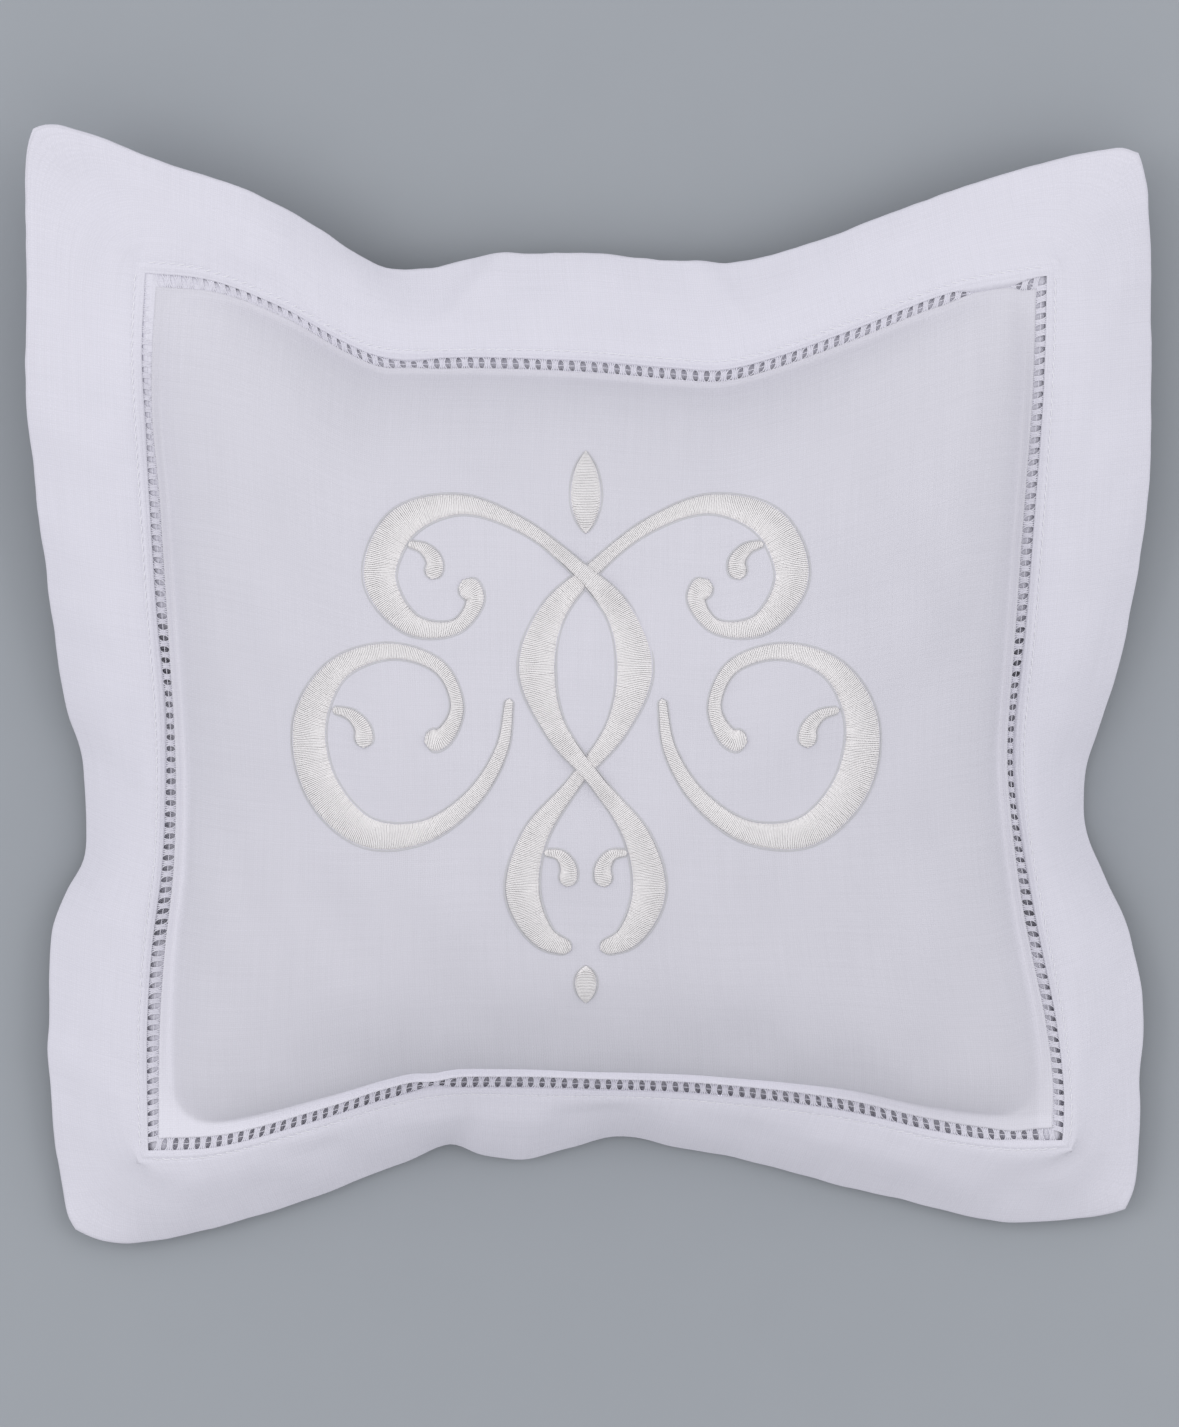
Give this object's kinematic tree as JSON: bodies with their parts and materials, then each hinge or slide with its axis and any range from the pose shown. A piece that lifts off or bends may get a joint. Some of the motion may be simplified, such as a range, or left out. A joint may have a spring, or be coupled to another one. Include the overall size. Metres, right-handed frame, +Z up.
{
  "type": "ring bearer pillow",
  "caption": "Square white linen ring bearer pillow with a hemstitched flange, envelope back, stuffed insert and embroidered scroll motif.",
  "frame": {"origin": "centre of the overall outline, on the surface that the pillow rests on", "axes": "+Z up through the embroidered front, +Y towards the motif's top edge, +X to the motif's right"},
  "size_m": [0.2585, 0.2624, 0.0659],
  "materials": {
    "linen": "fine plain-weave linen, matt, cool white",
    "drawn_thread": "bundles of linen threads left by hemstitching",
    "sewing_thread": "white cotton sewing thread",
    "embroidery_thread": "ivory satin stitch with a soft sheen",
    "muslin": "unbleached cotton muslin",
    "fibre_fill": "white polyester fibre fill"
  },
  "bodies": {
    "root": {"front_panel": "linen", "flange_face": "linen", "turned_hem_top": "linen", "turned_hem_right": "linen", "turned_hem_bottom": "linen", "turned_hem_left": "linen", "hemstitch_top": "drawn_thread", "hemstitch_right": "drawn_thread", "hemstitch_bottom": "drawn_thread", "hemstitch_left": "drawn_thread", "joining_seam_top": "sewing_thread", "joining_seam_right": "sewing_thread", "joining_seam_bottom": "sewing_thread", "joining_seam_left": "sewing_thread", "back_flap_outer": "linen", "back_flap_inner": "linen", "closure_hem_outer": "linen", "closure_hem_inner": "linen", "insert_case_front": "muslin", "insert_case_back": "muslin", "insert_seam": "muslin", "insert_fill": "fibre_fill", "main_scroll_right": "embroidery_thread", "main_scroll_left": "embroidery_thread", "side_scroll_right": "embroidery_thread", "side_scroll_left": "embroidery_thread", "side_leaf_right": "embroidery_thread", "side_leaf_left": "embroidery_thread", "shoulder_leaf_right": "embroidery_thread", "shoulder_leaf_left": "embroidery_thread", "drop_leaf_right": "embroidery_thread", "drop_leaf_left": "embroidery_thread", "finial": "embroidery_thread", "pendant": "embroidery_thread"}
  },
  "joints": []
}
